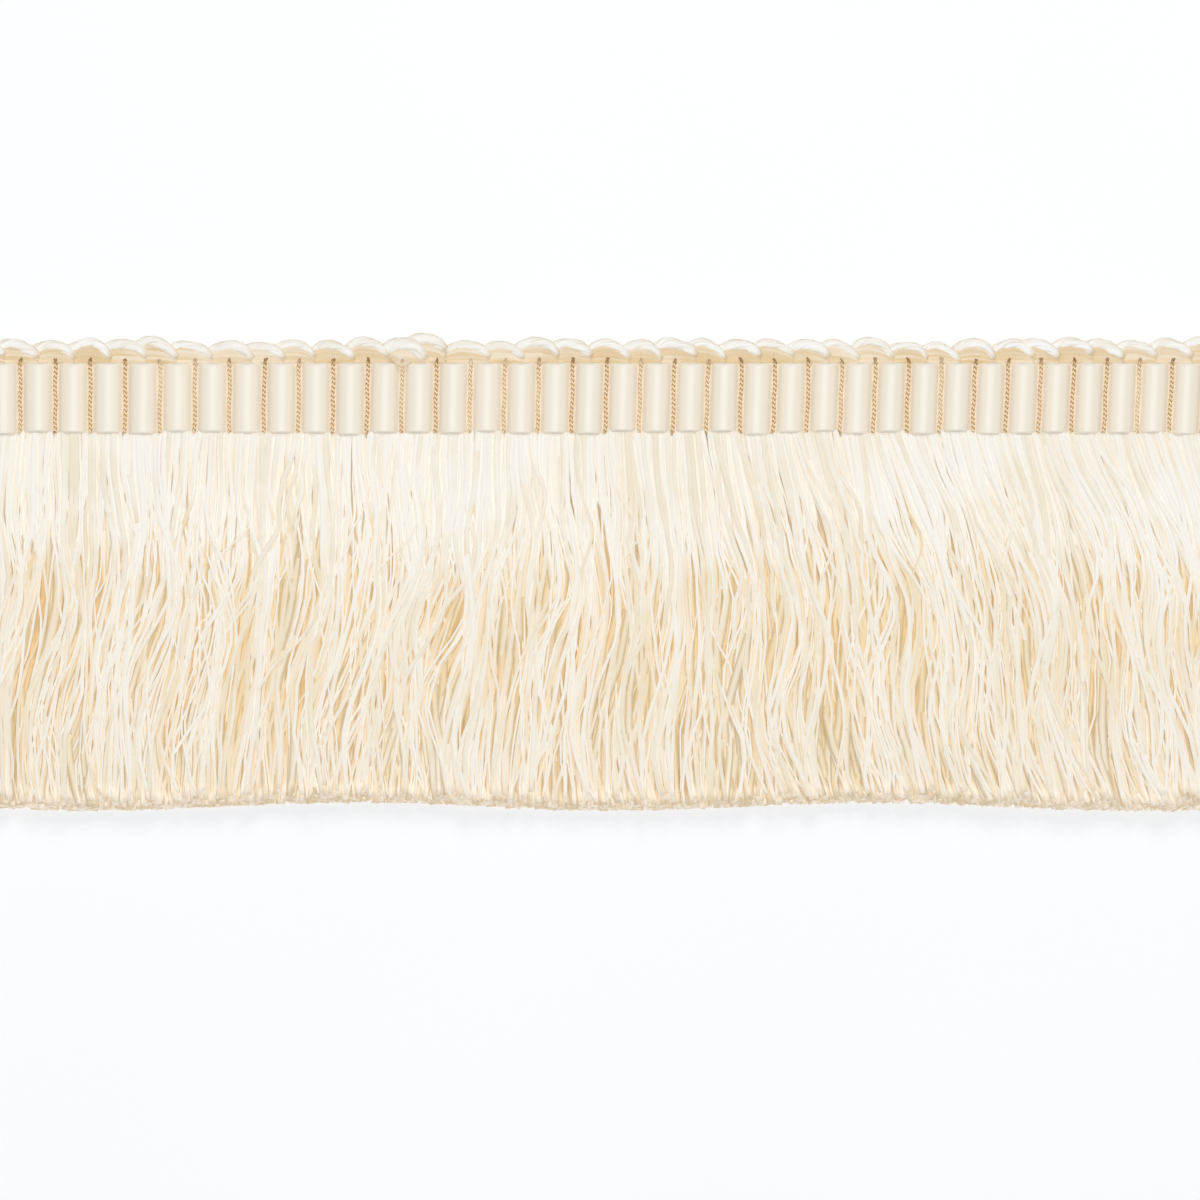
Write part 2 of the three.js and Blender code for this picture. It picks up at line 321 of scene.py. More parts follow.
@dataclass(frozen=True)
class YarnFinish:
    """Soft spun yarn, cut or looped: matt fibres with a slight sheen, painted paler where light reaches it.

    Shade is painted into the colour. It follows the mark "shade_depth", from 0 deep in the pile, painted
    golden and darker as shade and as light that has gone through many yarns, to 1 at the top, painted pale as
    if in full light, and a yarn's sides are painted warmer and darker than its top, as shade. An emission,
    painted light, stands in for light passed on through the fibres. The mark "tint" sets one yarn a little
    apart from the next, and the mark "cut" is 1 where a yarn is cut through: its end is painted tan, partly
    the cut fibres' own tone and partly painted shade on the cut face.
    Sizes are in millimetres.
    """

    name: str
    # deep, middle and top are one yarn colour painted in shade deep in the pile and in light at its top; side
    # is painted shade on a yarn's sides.
    deep: str
    middle: str
    top: str
    tint: str
    side: str
    shaded_side_share: float = 0.3
    # The cut ends' two tones: painted tan, partly the cut fibres' own tone and partly painted shade on the
    # cut face.
    cut: tuple[str, str] = ("#f8f0e2", "#e2d2b6")
    stretch: float = 3.846
    patch: float = 20.833
    patchiness: float = 0.35
    # Painted light, no lamp: the yarn's emission, strongest deep in the pile, stands in for light passed on
    # through the fibres.
    painted_glow: float = 0.2
    painted_glow_colour: str = "#f8cc8c"
    fuzz: float = 0.75
    twist: float = 0.9
    roughness: float = 0.6
    specular: float = 0.35
    sheen: float = 0.3

    def material(self) -> bpy.types.Material:
        """Builds the material from the parts that the other methods make."""
        sheet = NodeSheet(self.name)
        inputs = {
            "Base Color": self.colour(sheet),
            "Normal": self.normal(sheet),
            "Roughness": self.roughness,
            "Specular IOR Level": self.specular,
            "IOR": 1.46,
            "Sheen Weight": self.sheen,
            "Sheen Roughness": 0.5,
            "Emission Strength": self.painted_glow_strength(sheet),
            "Emission Color": self.painted_glow_colour,
        }
        sheet.fill(sheet.shader, inputs)
        return sheet.material

    def colour(self, sheet: NodeSheet) -> bpy.types.NodeSocket:
        """Mixes the yarn's colour from the shade painted in the pile and on its sides, its tint, its place,
        and its cut end.
        """
        # Painted shade: deep in the pile the yarn is painted darker and golden, at the top pale as if in full
        # light.
        shade_depth = sheet.add("ShaderNodeAttribute", attribute_name="shade_depth", out="Fac")
        tint = sheet.add("ShaderNodeAttribute", attribute_name="tint", out="Fac")
        lower = sheet.add("ShaderNodeMapRange", {0: shade_depth, 1: 0.05, 2: 0.7}, **EASED)
        upper = sheet.add("ShaderNodeMapRange", {0: shade_depth, 1: 0.55, 2: 1.1}, **EASED)
        low = sheet.add("ShaderNodeMix", {0: lower, 6: self.deep, 7: self.middle}, **COLOURS)
        plain = sheet.add("ShaderNodeMix", {0: upper, 6: low, 7: self.top}, **COLOURS)

        # Short stretches of a yarn, and broad patches of the pile, are a little warmer than the rest.
        place = sheet.add("ShaderNodeTexCoord", out="Object")
        stretches = {"Vector": place, "Scale": 1 / (self.stretch * MM), "Detail": 3.0}
        patches = {"Vector": place, "Scale": 1 / (self.patch * MM), "Detail": 2.0}
        fine = sheet.add("ShaderNodeTexNoise", stretches, out="Fac")
        broad = sheet.add("ShaderNodeTexNoise", patches, out="Fac")
        broad = sheet.add("ShaderNodeMapRange", {0: broad, 1: 0.4, 2: 0.68, 4: self.patchiness}, **EASED)
        warm = sheet.add("ShaderNodeMath", {0: tint, 1: fine, 2: broad}, operation="MULTIPLY_ADD")
        warm = sheet.add("ShaderNodeMapRange", {0: warm, 1: 0.15, 2: 0.75, 4: 0.65}, **EASED)
        yarn = sheet.add("ShaderNodeMix", {0: warm, 6: plain, 7: self.tint}, **COLOURS)

        # A yarn's sides are painted warmer and darker than its top, as shade. Near the roots the mark passes
        # 1:
        # the yarns lie shoulder to shoulder there and hide their sides, so less of that shade is painted.
        normal = sheet.add("ShaderNodeNewGeometry", out="Normal")
        facing = sheet.add("ShaderNodeSeparateXYZ", {0: normal}, out="Z")
        turned = sheet.add("ShaderNodeMapRange", {0: facing, 1: 0.8, 2: 0.3, 4: self.shaded_side_share}, **EASED)
        loose = sheet.add("ShaderNodeMapRange", {0: shade_depth, 1: 1.0, 2: 1.5, 3: 1.0, 4: 0.75}, **EASED)
        turned = sheet.add("ShaderNodeMath", {0: turned, 1: loose}, operation="MULTIPLY")
        body = sheet.add("ShaderNodeMix", {0: turned, 6: yarn, 7: self.side}, **COLOURS)

        # Cut ends are painted tan, partly the cut fibres' own tone and partly painted shade on the cut face.
        ends = sheet.add("ShaderNodeAttribute", attribute_name="cut", out="Fac")
        which = sheet.add("ShaderNodeMapRange", {0: tint, 1: 0.1, 2: 0.6}, **EASED)
        speck = sheet.add("ShaderNodeMix", {0: which, 6: self.cut[0], 7: self.cut[1]}, **COLOURS)
        return sheet.add("ShaderNodeMix", {0: ends, 6: body, 7: speck}, **COLOURS)

    def normal(self, sheet: NodeSheet) -> bpy.types.NodeSocket:
        """Lifts the normal for the fibres that stand out, and adds the plies' twist as a fine bump."""
        # The two plies wind round each other once in every twist. Each yarn's tint shifts where it starts.
        uv = sheet.add("ShaderNodeUVMap", uv_map="UVMap")
        tint = sheet.add("ShaderNodeAttribute", attribute_name="tint", out="Fac")
        offset = sheet.add("ShaderNodeMath", {0: tint, 1: 60.0}, operation="MULTIPLY")
        shifted = sheet.add("ShaderNodeVectorMath", {0: uv, 1: offset}, operation="ADD")
        turned = sheet.add("ShaderNodeMapping", {0: shifted, 3: (2.0, 2.0 / self.twist, 1.0)})
        winding = {"Vector": turned, "Scale": 0.16, "Distortion": 1.2, "Detail": 1.0, "Detail Scale": 2.0}
        plies = sheet.add(
            "ShaderNodeTexWave", winding, out="Fac", wave_type="BANDS", bands_direction="DIAGONAL"
        )
        # Fine fibres stand out all round, so light falls on a yarn less as on a rod and more as on the pile.
        normal = sheet.add("ShaderNodeNewGeometry", out="Normal")
        facing = sheet.add("ShaderNodeSeparateXYZ", {0: normal}, out="Z")
        upper = sheet.add("ShaderNodeMapRange", {0: facing, 1: -0.6, 2: -0.05, 4: self.fuzz}, **EASED)
        lift = {0: upper, 4: normal, 5: (0.0, 0.0, 1.0)}
        raised = sheet.add("ShaderNodeMix", lift, out=1, data_type="VECTOR")
        raised = sheet.add("ShaderNodeVectorMath", {0: raised}, operation="NORMALIZE")
        relief = {"Strength": 0.2, "Distance": 0.06 * MM, "Height": plies, "Normal": raised}
        return sheet.add("ShaderNodeBump", relief)

    def painted_glow_strength(self, sheet: NodeSheet) -> bpy.types.NodeSocket:
        """Gives the strength of an emission, painted light that stands in for light that has passed through
        the neighbouring fibres.
        """
        shade_depth = sheet.add("ShaderNodeAttribute", attribute_name="shade_depth", out="Fac")
        ends = sheet.add("ShaderNodeAttribute", attribute_name="cut", out="Fac")
        deep = {0: shade_depth, 1: 0.1, 2: 0.95, 3: self.painted_glow, 4: 0.1 * self.painted_glow}
        within = sheet.add("ShaderNodeMapRange", deep, **EASED)
        # More painted emission at the cut ends, and less of the deep one there.
        painted_end_glow = sheet.add("ShaderNodeMapRange", {0: ends, 4: 0.11})
        covered = sheet.add("ShaderNodeMapRange", {0: ends, 3: 1.0, 4: 0.45})
        painted_light = sheet.add("ShaderNodeMath", {0: within, 1: covered, 2: painted_end_glow}, operation="MULTIPLY_ADD")
        # The same painted emission is added on a yarn's shaded underside as well.
        normal = sheet.add("ShaderNodeNewGeometry", out="Normal")
        facing = sheet.add("ShaderNodeSeparateXYZ", {0: normal}, out="Z")
        painted_underside_glow = sheet.add("ShaderNodeMapRange", {0: facing, 1: -0.05, 2: -0.6, 4: 1.3 * self.painted_glow}, **EASED)
        return sheet.add("ShaderNodeMath", {0: painted_light, 1: painted_underside_glow}, operation="ADD")


@dataclass(frozen=True)
class WovenFinish:
    """Warp-faced rayon, woven tight over the ribs: a low satin gloss, broken by fine warp threads.

    The colour follows the mark "rise", from 0 in the valleys to 1 on the crests, as painted light and shade:
    the valleys are painted lighter and warmer against their shade, the crests a little darker against their
    gloss.
    Sizes are in millimetres.
    """

    name: str = "satin_woven_rayon"
    valley: str = "#f9ebd5"
    flank: str = "#f1e6d2"
    crest: str = "#eae2d3"
    line: str = "#d9c6a4"
    warp_pitch: float = 0.27
    patch: float = 2.381
    roughness: float = 0.46

    def material(self) -> bpy.types.Material:
        """Builds the material, with one dark line and one bump for each warp thread."""
        sheet = NodeSheet(self.name)
        rise = sheet.add("ShaderNodeAttribute", attribute_name="rise", out="Fac")
        # Painted light and shade across each rib: the valleys are painted lighter and warmer against their
        # shade, the crests a little darker against their gloss.
        lower = sheet.add("ShaderNodeMapRange", {0: rise, 2: 0.6}, **EASED)
        upper = sheet.add("ShaderNodeMapRange", {0: rise, 1: 0.8}, **EASED)
        low = sheet.add("ShaderNodeMix", {0: lower, 6: self.valley, 7: self.flank}, **COLOURS)
        body = sheet.add("ShaderNodeMix", {0: upper, 6: low, 7: self.crest}, **COLOURS)

        # A wave's bands repeat each 2 pi / (20 x scale), so this scale gives one band for each warp thread.
        place = sheet.add("ShaderNodeTexCoord", out="Object")
        scale = 2 * math.pi / (20 * self.warp_pitch * MM)
        threads = {"Vector": place, "Scale": scale, "Distortion": 4.0, "Detail": 2.0, "Detail Scale": 0.35}
        warps = sheet.add("ShaderNodeTexWave", threads, out="Fac", wave_type="BANDS", bands_direction="Y")
        patches = {"Vector": place, "Scale": 1 / (self.patch * MM), "Detail": 2.0}
        patches = sheet.add("ShaderNodeTexNoise", patches, out="Fac")
        line = sheet.add("ShaderNodeMath", {0: warps, 1: patches}, operation="MULTIPLY")
        line = sheet.add("ShaderNodeMapRange", {0: line, 1: 0.4, 2: 0.9, 4: 0.08}, **EASED)
        inputs = {
            "Base Color": sheet.add("ShaderNodeMix", {0: line, 6: body, 7: self.line}, **COLOURS),
            "Normal": sheet.add("ShaderNodeBump", {"Strength": 0.15, "Distance": 0.05 * MM, "Height": warps}),
            "Roughness": self.roughness,
            "Sheen Weight": 0.2,
            "Sheen Roughness": 0.4,
            "IOR": 1.5,
        }
        sheet.fill(sheet.shader, inputs)
        return sheet.material


@dataclass(frozen=True)
class TableFinish:
    """White laminate with a matt lacquer: even, with a faint cloudiness that shows only close up."""

    name: str = "matt_white_laminate"
    colour: str = "#fbfcfd"
    cloud: str = "#f8f9fa"
    cloud_size: float = 111.11

    def material(self) -> bpy.types.Material:
        """Builds the material."""
        sheet = NodeSheet(self.name)
        place = sheet.add("ShaderNodeTexCoord", out="Object")
        clouds = {"Vector": place, "Scale": 1 / (self.cloud_size * MM), "Detail": 2.0}
        clouds = sheet.add("ShaderNodeTexNoise", clouds, out="Fac")
        colour = sheet.add("ShaderNodeMix", {0: clouds, 6: self.colour, 7: self.cloud}, **COLOURS)
        sheet.fill(sheet.shader, {"Base Color": colour, "Roughness": 0.85, "IOR": 1.45})
        return sheet.material


@dataclass
class Heading:
    """The ribbed woven band: raised ribs on a flat back, with a thin selvedge under the loops' feet."""

    plan: TrimPlan
    columns: int = 16
    rows: int = 26
    # How far from a rib's end the first rows of points lie.
    end_rows: tuple[float, ...] = (0.0, 0.05, 0.13, 0.24, 0.38, 0.55)
    end_round: float = 0.4
    end_drop: float = 0.16
    crest_unevenness: float = 0.06
    selvedge_width: float = 0.45
    selvedge_thickness: float = 0.35

    def surface(self, column: float, y: float) -> tuple[Vector, float]:
        """Gives a point of the face.

        Args:
            column: How many columns from the -X end.
            y: How far across the heading, before the ribs' ends step out of line.

        Returns:
            The point in millimetres, and its height above the valley floor as a share of the crest.
        """
        plan = self.plan
        rib = min(int(column / self.columns), plan.rib_count - 1)
        left, right = plan.edges[rib], plan.edges[rib + 1]
        x = left + (column / self.columns - rib) * (right - left)
        half = (right - left) / 2
        across = (x - left - half) / (half - plan.valley_width / 2)
        rise = float(plan.rib_rise(across)) if abs(across) < 1 else 0.0
        near_end = min(plan.rib_top - y, plan.rib_top + y) / self.end_round
        rounded = 1 - self.end_drop * (1 - min(max(near_end, 0.0), 1.0)) ** 2
        crest = plan.rib_crest - plan.valley_floor + self.crest_unevenness * float(uneven(rib, 6))
        z = (plan.valley_floor + crest * rise) * rounded
        if y > plan.rib_top + 0.01:
            z, rise = self.selvedge_thickness, 0.0
        step = plan.rib_end_step * float(uneven(rib, 1)) * min(1.0, 5 * rise)
        moved = y + step * max(0.0, plan.rib_top - y) / plan.rib_length
        return Vector((x + float(plan.rib_shift(x, y)), moved, z)), rise

    def mesh(self) -> bpy.types.Mesh:
        """Shapes a flat grid into the ribs, and draws its border down to the flat back."""
        plan = self.plan
        shape = bmesh.new()
        columns = plan.rib_count * self.columns
        ends = self.end_rows
        inner = np.linspace(ends[-1], plan.rib_length - ends[-1], self.rows)
        across = np.concatenate([ends[:-1], inner, plan.rib_length - np.array(ends[-2::-1])]) - plan.rib_top
        across = np.concatenate([across, [plan.rib_top + 0.02, plan.rib_top + self.selvedge_width]])
        bmesh.ops.create_grid(shape, x_segments=columns, y_segments=len(across) - 1, size=0.5)
        rise = shape.verts.layers.float.new("rise")
        for vert in shape.verts:
            column = round((vert.co.x + 0.5) * columns)
            row = round((vert.co.y + 0.5) * (len(across) - 1))
            point, share = self.surface(column, float(across[row]))
            vert.co = point * MM
            vert[rise] = share
        for face in shape.faces:
            face.smooth = True
        border = [edge for edge in shape.edges if edge.is_boundary]
        drawn = bmesh.ops.extrude_edge_only(shape, edges=border)["geom"]
        for vert in (part for part in drawn if isinstance(part, bmesh.types.BMVert)):
            vert.co.z = 0
        rim = [part for part in drawn if isinstance(part, bmesh.types.BMEdge) and part.is_boundary]
        bmesh.ops.contextual_create(shape, geom=rim)
        bmesh.ops.recalc_face_normals(shape, faces=shape.faces)
        mesh = bpy.data.meshes.new("heading")
        shape.to_mesh(mesh)
        shape.free()
        return mesh

    def build(self, finish: WovenFinish) -> None:
        piece = Piece("woven_heading", self.mesh())
        piece.dress(finish.material(), "heading_cloth", "heading")


@dataclass
class BindingThreads:
    """The gold threads in the valleys: two plies wound round each other, hooked over at the top."""

    plan: TrimPlan
    radius: float = 0.28
    height: float = 1.56
    pitch: float = 1.24
    points: int = 72
    sides: int = 5
    seed: int = 5

    def lines(self) -> tuple[Array, Array]:
        """Winds the two plies of every thread.

        Returns:
            The plies' lines, and how high each of their points lies in the thread, from 0 to 1, the mark for
            painted shade, which falls to 0 at both ends where the thread dives.
        """
        plan = self.plan
        rng = np.random.default_rng(self.seed)
        edges = plan.edges[1:-1]
        count = len(edges)
        share = np.linspace(0, 1, self.points)
        foot, head = -plan.rib_top - 0.05, plan.rib_top + 0.35
        y = foot + (head - foot) * share[None, :] + np.zeros((count, 1))
        turns = share[None, :] * rng.uniform(1, 2.4, (count, 1))
        wander = 0.05 * np.sin(2 * math.pi * (turns + rng.random((count, 1))))
        x = edges[:, None] + plan.rib_shift(edges[:, None], y) + wander
        z = self.height + 0.35 * smoothstep(y, plan.rib_top - 1.2, plan.rib_top + 0.1)
        # The upper end turns round the foot of the loop and dives.
        hook = smoothstep(share, 0.95, 1.0)[None, :] * rng.uniform(0.6, 1.1, (count, 1))
        x = x + rng.uniform(-0.25, 0.5, (count, 1)) * hook**1.5
        y = y + 0.35 * np.sin(hook * 2.2)
        z = z - 0.75 * hook**2 - 0.8 * (1 - smoothstep(share, 0.0, 0.045))
        angle = 2 * math.pi * (y / self.pitch + rng.random((count, 1)))
        plies, ply_shades = [], []
        for half_turn in (0.0, math.pi):
            offset = self.radius * 0.55
            rise = np.sin(angle + half_turn)
            plies.append(np.stack([x + offset * np.cos(angle + half_turn), y, z + offset * rise], axis=-1))
            # Painted shade: each ply is painted darker where it lies low in the thread, and both ends of the
            # thread, where it dives, darker still.
            shaded = (1 - smoothstep(share, 0.93, 0.99)) * smoothstep(share, 0.0, 0.03)
            ply_shades.append((0.5 + 0.5 * rise) * shaded)
        return np.concatenate(plies), np.concatenate(ply_shades)

    def build(self, finish: YarnFinish) -> None:
        """Makes all the threads as one piece."""
        centres, height = self.lines()
        rng = np.random.default_rng(self.seed + 1)
        radii = np.full(height.shape, self.radius * 0.5)
        tint = np.tile(rng.random((len(height) // 2, 1)), (2, self.points))
        # The height in the thread marks painted shade: lower plies are painted darker.
        batch = YarnBatch(centres, radii, self.sides, marks={"shade_depth": height, "tint": tint})
        nodes = [f"binding_thread_{n:02d}" for n in range(1, self.plan.rib_count)]
        piece = Piece("binding_threads", batch.mesh("binding_threads"))
        piece.dress(finish.material(), "binding_thread", *nodes)


@dataclass
class LoopEdge:
    """The soft loops of the upper edge: a pale rope of plies over each valley, and plies inside painted
    darker as the shade within the loop.
    """

    plan: TrimPlan
    # Along the span, up from the ribs' ends, high above the table, and radius, for each section of a loop.
    sections: tuple[tuple[float, float, float, float], ...] = (
        (-0.2, 1.5, 0.56, 0.5),
        (0.0, 2.16, 0.72, 0.68),
        (0.26, 2.62, 0.88, 0.74),
        (0.56, 2.46, 1.05, 0.74),
        (0.84, 1.8, 1.3, 0.68),
        (1.05, 0.72, 1.5, 0.56),
    )
    # Loops drawn out of line: by how much along X and Y, and how much thicker.
    drawn: dict[int, tuple[float, float, float]] = field(
        default_factory=lambda: {12: (-0.1, -0.45, 1.2), 13: (-1.0, 0.8, 1.1)}
    )
    # The foot of one loop has slipped down over its thread: the points of its lowest ply, from that valley.
    pulled: tuple[tuple[float, float, float], ...] = (
        (-1.5, 0.5, 1.4),
        (-0.9, 0.1, 1.85),
        (-0.3, -0.35, 2.0),
        (0.3, -0.4, 2.0),
        (0.8, 0.0, 1.9),
        (1.3, 0.5, 1.4),
    )
    pulled_loop: int = 12
    pulled_plies: int = 4
    pulled_radius: float = 0.28
    # The section, counted from the first, at which the loops of the two cut ends are cut through.
    cut_section: float = 2.75
    unevenness: float = 0.14
    plies: int = 9
    inner_plies: int = 7
    inner_radius: float = 0.33
    points: int = 16
    seed: int = 11

    def spine(self, edge: int) -> tuple[Array, Array]:
        """Gives the middle line of the loop over a valley, and its radius along it."""
        plan = self.plan
        start, end = plan.edge_at(edge - 0.5), plan.edge_at(edge + 0.5)
        shift = plan.rib_shift(plan.edges[edge], plan.rib_top)
        table = np.array(self.sections)
        higher = self.unevenness * float(uneven(edge, 2))
        up = table[:, 1] + np.where(table[:, 1] > 1.5, higher, 0.0)
        along = start + shift + table[:, 0] * (end - start)
        knots = np.stack([along, plan.rib_top + up, table[:, 2]], axis=-1)
        first = self.cut_section if edge == 0 else 0
        last = self.cut_section if edge == plan.rib_count else len(table) - 1
        place = np.linspace(first, last, self.points)
        smooth = self.through(knots, place)
        return smooth, self.through(table[:, 3:4], place)[:, 0]

    @staticmethod
    def through(knots: Array, place: Array) -> Array:
        """Draws a Catmull-Rom curve through the knots.

        Args:
            knots: The points to pass through.
            place: Where to read the curve, in knots from the first.

        Returns:
            A point of the curve for each place.
        """
        padded = np.vstack([2 * knots[0] - knots[1], knots, 2 * knots[-1] - knots[-2]])
        index = np.clip(np.floor(place), 0, len(knots) - 2).astype(int)
        t = (place - index)[:, None]
        a, b, c, d = (padded[index + step] for step in range(4))
        square, cube = 2 * a - 5 * b + 4 * c - d, 3 * b - a - 3 * c + d
        return 0.5 * (2 * b + (c - a) * t + square * t**2 + cube * t**3)

    def build(self, finish: YarnFinish) -> None:
        """Makes the loops' plies as one piece."""
        rng = np.random.default_rng(self.seed)
        lines, radii, shade_depths, tints = [], [], [], []
        share = np.linspace(0, 1, self.points)
        for edge in range(0, self.plan.rib_count + 1):
            middle, radius = self.spine(edge)
            aside, up, thicker = self.drawn.get(edge, (0.0, 0.0, 1.0))
            radius = radius * rng.uniform(0.84, 1.12) * thicker
            inside = 0 if edge in (0, self.plan.rib_count) else 1
            middle = middle + np.array([0.3 * inside, 0.16, 0.05]) * rng.normal(size=3)
            middle = middle + np.array([aside, up, 0])
            middle[:, 1] += 0.16 * np.sin(math.pi * (share * rng.uniform(1.5, 2.5) + rng.random()))
            tangent = np.gradient(middle, axis=0)
            tangent /= np.linalg.norm(tangent, axis=1, keepdims=True)
            sideways = np.cross(tangent, [0, 0, 1.0])
            sideways /= np.linalg.norm(sideways, axis=1, keepdims=True)
            upwards = np.cross(sideways, tangent)
            phase = rng.random()
            for ply in range(self.plies):
                angle = 2 * math.pi * (ply / self.plies + phase + 0.6 * share + 0.03 * rng.normal())
                from_middle = rng.uniform(0.46, 0.66)
                out = radius * (from_middle + 0.1 * np.sin(2 * math.pi * (1.3 * share + rng.random())))
                around = np.cos(angle)[:, None] * sideways + np.sin(angle)[:, None] * upwards
                lines.append(middle + out[:, None] * around)
                radii.append(radius * rng.uniform(0.38, 0.48))
                # Painted light and shade: each loop is painted palest at its crown and on its upper plies,
                # and darker towards its feet and on its lower plies.
                painted_light = np.clip(0.55 + 0.9 * np.sin(math.pi * np.clip(share, 0, 1)) ** 0.8, 0, 1)
                shade_depths.append(painted_light * (0.84 + 0.22 * np.sin(angle)) * rng.uniform(0.92, 1.06))
                tints.append(np.full(self.points, rng.random()))
            # The inner plies turn tighter and lower, and fill the loop down to the ribs; they are painted
            # tan, as the shade inside the loop.
            for ply in range(self.inner_plies):
                tight = (ply + 0.5) / self.inner_plies
                inner = middle.copy()
                reach = 0.03 + 0.79 * tight
                inner[:, 1] = self.plan.rib_top + 0.05 + (middle[:, 1] - self.plan.rib_top - 0.05) * reach
                turns = share * rng.uniform(0.6, 1.6) + rng.random()
                inner[:, 1] += 0.1 * tight * np.sin(2 * math.pi * turns)
                inner[:, 2] = np.minimum(1.5 - 0.15 * tight + 0.06 * rng.normal(), middle[:, 2] + 0.3)
                lines.append(inner)
                radii.append(np.full(self.points, self.inner_radius))
                shade_depths.append(np.full(self.points, 0.3 * rng.random() + 0.35 * tight))
                tints.append(np.full(self.points, rng.random()))
        start = np.array([self.plan.edges[self.pulled_loop], self.plan.rib_top, 0.0])
        for ply in range(self.pulled_plies):
            shaken = 0.08 * rng.normal(size=(len(self.pulled), 3))
            knots = start + np.array(self.pulled) * (1 - 0.1 * ply) + shaken
            knots[:, 1] += 0.3 * ply
            lines.append(self.through(knots, np.linspace(0, len(knots) - 1, self.points)))
            radii.append(np.full(self.points, self.pulled_radius))
            # The pulled plies are painted a middle shade.
            shade_depths.append(np.full(self.points, 0.5 + 0.1 * ply))
            tints.append(np.full(self.points, rng.random()))
        marks = {"shade_depth": np.array(shade_depths), "tint": np.array(tints)}
        batch = YarnBatch(np.array(lines), np.array(radii), 5, marks=marks)
        piece = Piece("loop_edge_yarns", batch.mesh("loop_edge_yarns"))
        piece.dress(finish.material(), "loop_yarn", "loop_edge")


class Layer(Enum):
    """The parts of the pile: name, layers, and a yarn's rows of corners and number of sides."""

    UNDER = ("fringe_under", (0, 1, 2), 12, 3)
    MIDDLE = ("fringe_middle", (3, 4, 5), 16, 3)
    TOP = ("fringe_top", (6, 7, 8), 20, 4)


